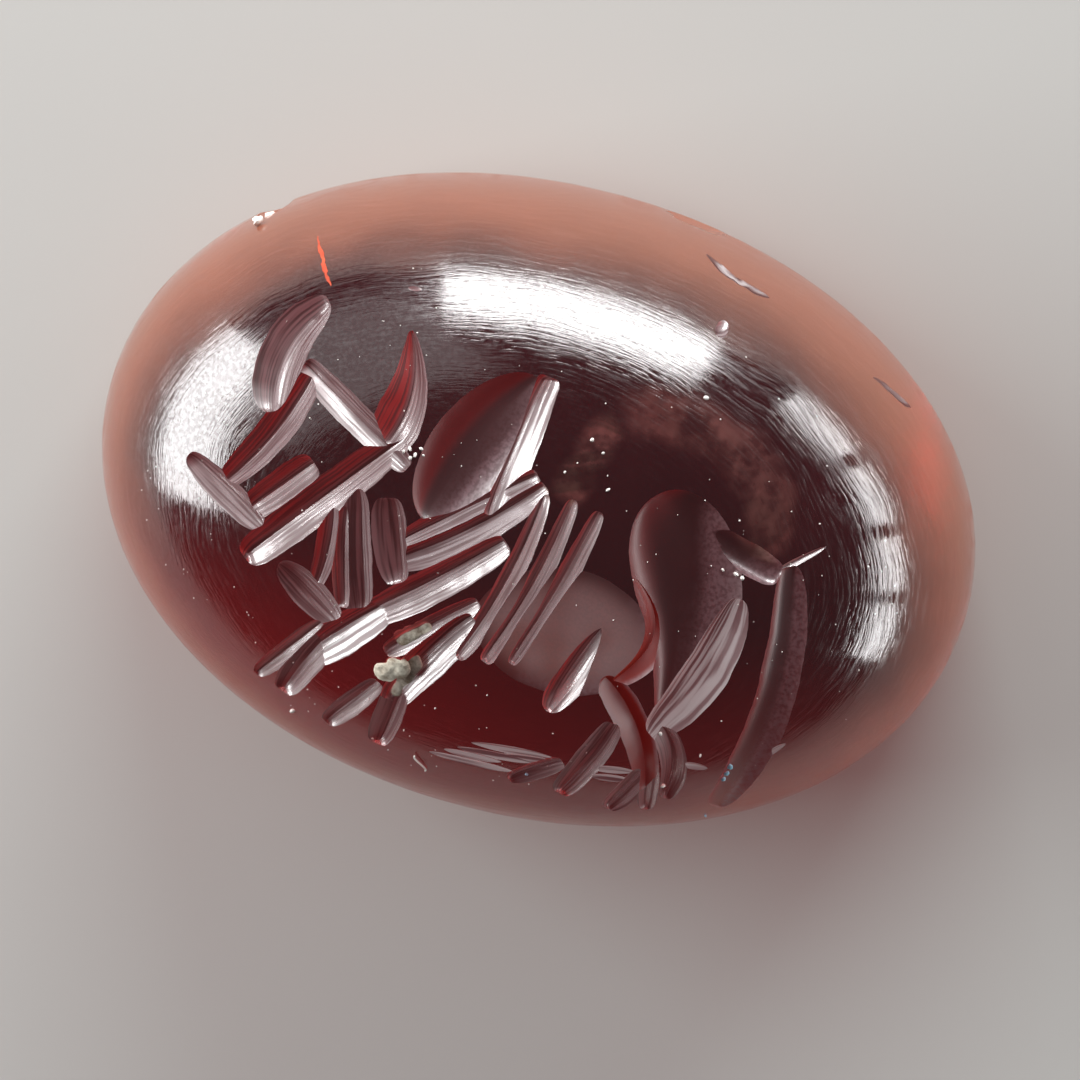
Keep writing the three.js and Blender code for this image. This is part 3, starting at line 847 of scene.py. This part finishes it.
bpy.ops.object.select_all(action="DESELECT")
bpy.ops.curve.primitive_bezier_curve_add(radius=1)
fibre = bpy.context.object
fibre.name = "fibre"
fibre.data.bevel_depth = 0.016
fibre.data.bevel_resolution = 2
fibre_ends = [(-0.109, -0.9), (-0.078, -0.965)]
for knot, (u, v) in zip(fibre.data.splines[0].bezier_points, fibre_ends):
    middle, lift = settle(u, v)
    knot.co = middle + lift * 0.03
    knot.handle_left_type = "FREE"
    knot.handle_right_type = "FREE"
    knot.handle_left = knot.co + Vector((0.09, 0.06, 0.05))
    knot.handle_right = knot.co + Vector((-0.07, -0.07, 0.0))
bpy.ops.object.convert(target="MESH")
bring_to_metres(fibre)
fibre.data.materials.append(white_grain)
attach(fibre, "root")


# The table is a wide pale sheet with a soft matte face. The stone lies loose on it.
bpy.ops.object.select_all(action="DESELECT")
bpy.ops.mesh.primitive_plane_add(size=1.6, location=(0, 0, -0.00002))
table = bpy.context.object
table.name = "table"
paper = bpy.data.materials.new("pale_paper")
paper.use_nodes = True
paper_tree = paper.node_tree
paper_shader = paper_tree.nodes["Principled BSDF"]
paper_shader.inputs["Base Color"].default_value = (0.6, 0.585, 0.56, 1)
paper_shader.inputs["Roughness"].default_value = 0.85
table.data.materials.append(paper)

# The camera looks down on the stone from above its upper edge, as in the photograph
tilt_back = math.sin(math.radians(13))
tilt_side = math.sin(math.radians(3))
sight = Vector((tilt_side, tilt_back, math.sqrt(1 - tilt_back**2 - tilt_side**2)))
level_right = (Vector((1, 0, 0)) - sight * tilt_side).normalized()
level_up = sight.cross(level_right)
roll = math.radians(15.05)
camera_right = level_right * math.cos(roll) + level_up * math.sin(roll)
camera_up = level_up * math.cos(roll) - level_right * math.sin(roll)
aim = Vector((0, 0, 3.0)) + camera_right * 0.2326 - camera_up * 0.3466
eye = (aim + sight * 102) * MM
lens = bpy.data.cameras.new("camera")
lens.lens = 201.6
lens.sensor_width = 36
lens.clip_start = 0.005
lens.clip_end = 20
camera = bpy.data.objects.new("camera", lens)
bpy.context.scene.collection.objects.link(camera)
axes = Matrix((camera_right, camera_up, sight)).transposed().to_4x4()
camera.matrix_world = Matrix.Translation(eye) @ axes
bpy.context.scene.camera = camera


# Softboxes stand low round the table, behind the stone and at its left. At its right a wide one
# is made of sixteen small panels, because its reflection is a lattice.
def softbox(name, azimuth, elevation, distance, size, power):
    direction = Vector(
        (
            math.cos(math.radians(azimuth)) * math.cos(math.radians(elevation)),
            math.sin(math.radians(azimuth)) * math.cos(math.radians(elevation)),
            math.sin(math.radians(elevation)),
        )
    )
    data = bpy.data.lights.new(name, "AREA")
    data.shape = "RECTANGLE"
    data.size, data.size_y = size
    data.energy = power
    light = bpy.data.objects.new(name, data)
    light.location = direction * distance
    light.rotation_euler = direction.to_track_quat("Z", "Y").to_euler()
    light.visible_camera = False
    bpy.context.scene.collection.objects.link(light)
    return light


softbox("softbox_behind", 92, 15, 0.12, (0.09, 0.05), 0.22)
softbox("softbox_left", 180, 16, 0.12, (0.11, 0.06), 0.2)
softbox("softbox_corner", 145, 34, 0.16, (0.16, 0.12), 0.05)
for row, height in enumerate((1.5, 4.5, 7.5, 10.5)):
    for part, azimuth in enumerate((-12, 8, 28, 48)):
        softbox(f"strip_right_{row}_{part}", azimuth, height, 0.12, (0.034, 0.005), 0.006)

bpy.context.scene.view_settings.view_transform = "Standard"
# Light gathered by the stone would only be noise at this length of render
bpy.context.scene.cycles.caustics_reflective = False
bpy.context.scene.cycles.caustics_refractive = False
world = bpy.data.worlds.new("studio")
bpy.context.scene.world = world
world.use_nodes = True
world.node_tree.nodes["Background"].inputs["Color"].default_value = (0.9, 0.94, 1, 1)
world.node_tree.nodes["Background"].inputs["Strength"].default_value = 0.09
